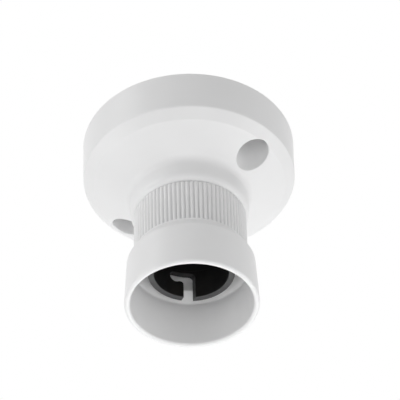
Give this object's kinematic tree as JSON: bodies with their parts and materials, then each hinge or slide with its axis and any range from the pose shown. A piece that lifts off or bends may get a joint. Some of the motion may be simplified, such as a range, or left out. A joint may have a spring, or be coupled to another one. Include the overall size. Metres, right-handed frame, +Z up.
{
  "type": "lamp holder",
  "caption": "Ceiling lamp holder with a domed base, two fixing wells, a fluted shade ring with a skirt, and a bayonet socket with sprung contacts.",
  "frame": {"origin": "centre of the two fixing holes in the face that meets the ceiling", "axes": "+Z up into the ceiling along the socket's axis, the lamp goes in from -Z; the picture looks along +Y from below"},
  "size_m": [0.066, 0.066, 0.0644],
  "materials": {
    "white_moulding": "satin white thermoset moulding",
    "black_moulding": "satin black heat-resisting moulding",
    "brass": "machined brass",
    "plated_steel": "zinc-plated steel"
  },
  "bodies": {
    "base": {"base_housing": "white_moulding", "bayonet_barrel": "black_moulding", "contact_block": "black_moulding", "plunger_guide": "black_moulding", "live_spring": "plated_steel", "neutral_spring": "plated_steel", "live_terminal": "brass", "neutral_terminal": "brass", "loop_terminal": "brass", "earth_terminal": "brass", "live_clamp_screw": "plated_steel", "neutral_clamp_screw_a": "plated_steel", "neutral_clamp_screw_b": "plated_steel", "loop_clamp_screw_a": "plated_steel", "loop_clamp_screw_b": "plated_steel", "earth_clamp_screw_a": "plated_steel", "earth_clamp_screw_b": "plated_steel", "block_screw_a": "plated_steel", "block_screw_b": "plated_steel"},
    "ring": {"shade_ring": "white_moulding"},
    "live_contact": {"live_plunger": "brass"},
    "neutral_contact": {"neutral_plunger": "brass"}
  },
  "joints": [
    {"name": "ring_unscrew", "type": "slide", "parent": "base", "child": "ring", "axis": [0, 0, -1], "range_m": [0, 0.013]},
    {"name": "live_press", "type": "slide", "parent": "base", "child": "live_contact", "axis": [0, 0, 1], "range_m": [0, 0.004], "stiffness_N_per_m": 600, "springref_m": -0.003, "deforming": ["live_spring"]},
    {"name": "neutral_press", "type": "slide", "parent": "base", "child": "neutral_contact", "axis": [0, 0, 1], "range_m": [0, 0.004], "stiffness_N_per_m": 600, "springref_m": -0.003, "deforming": ["neutral_spring"]}
  ]
}
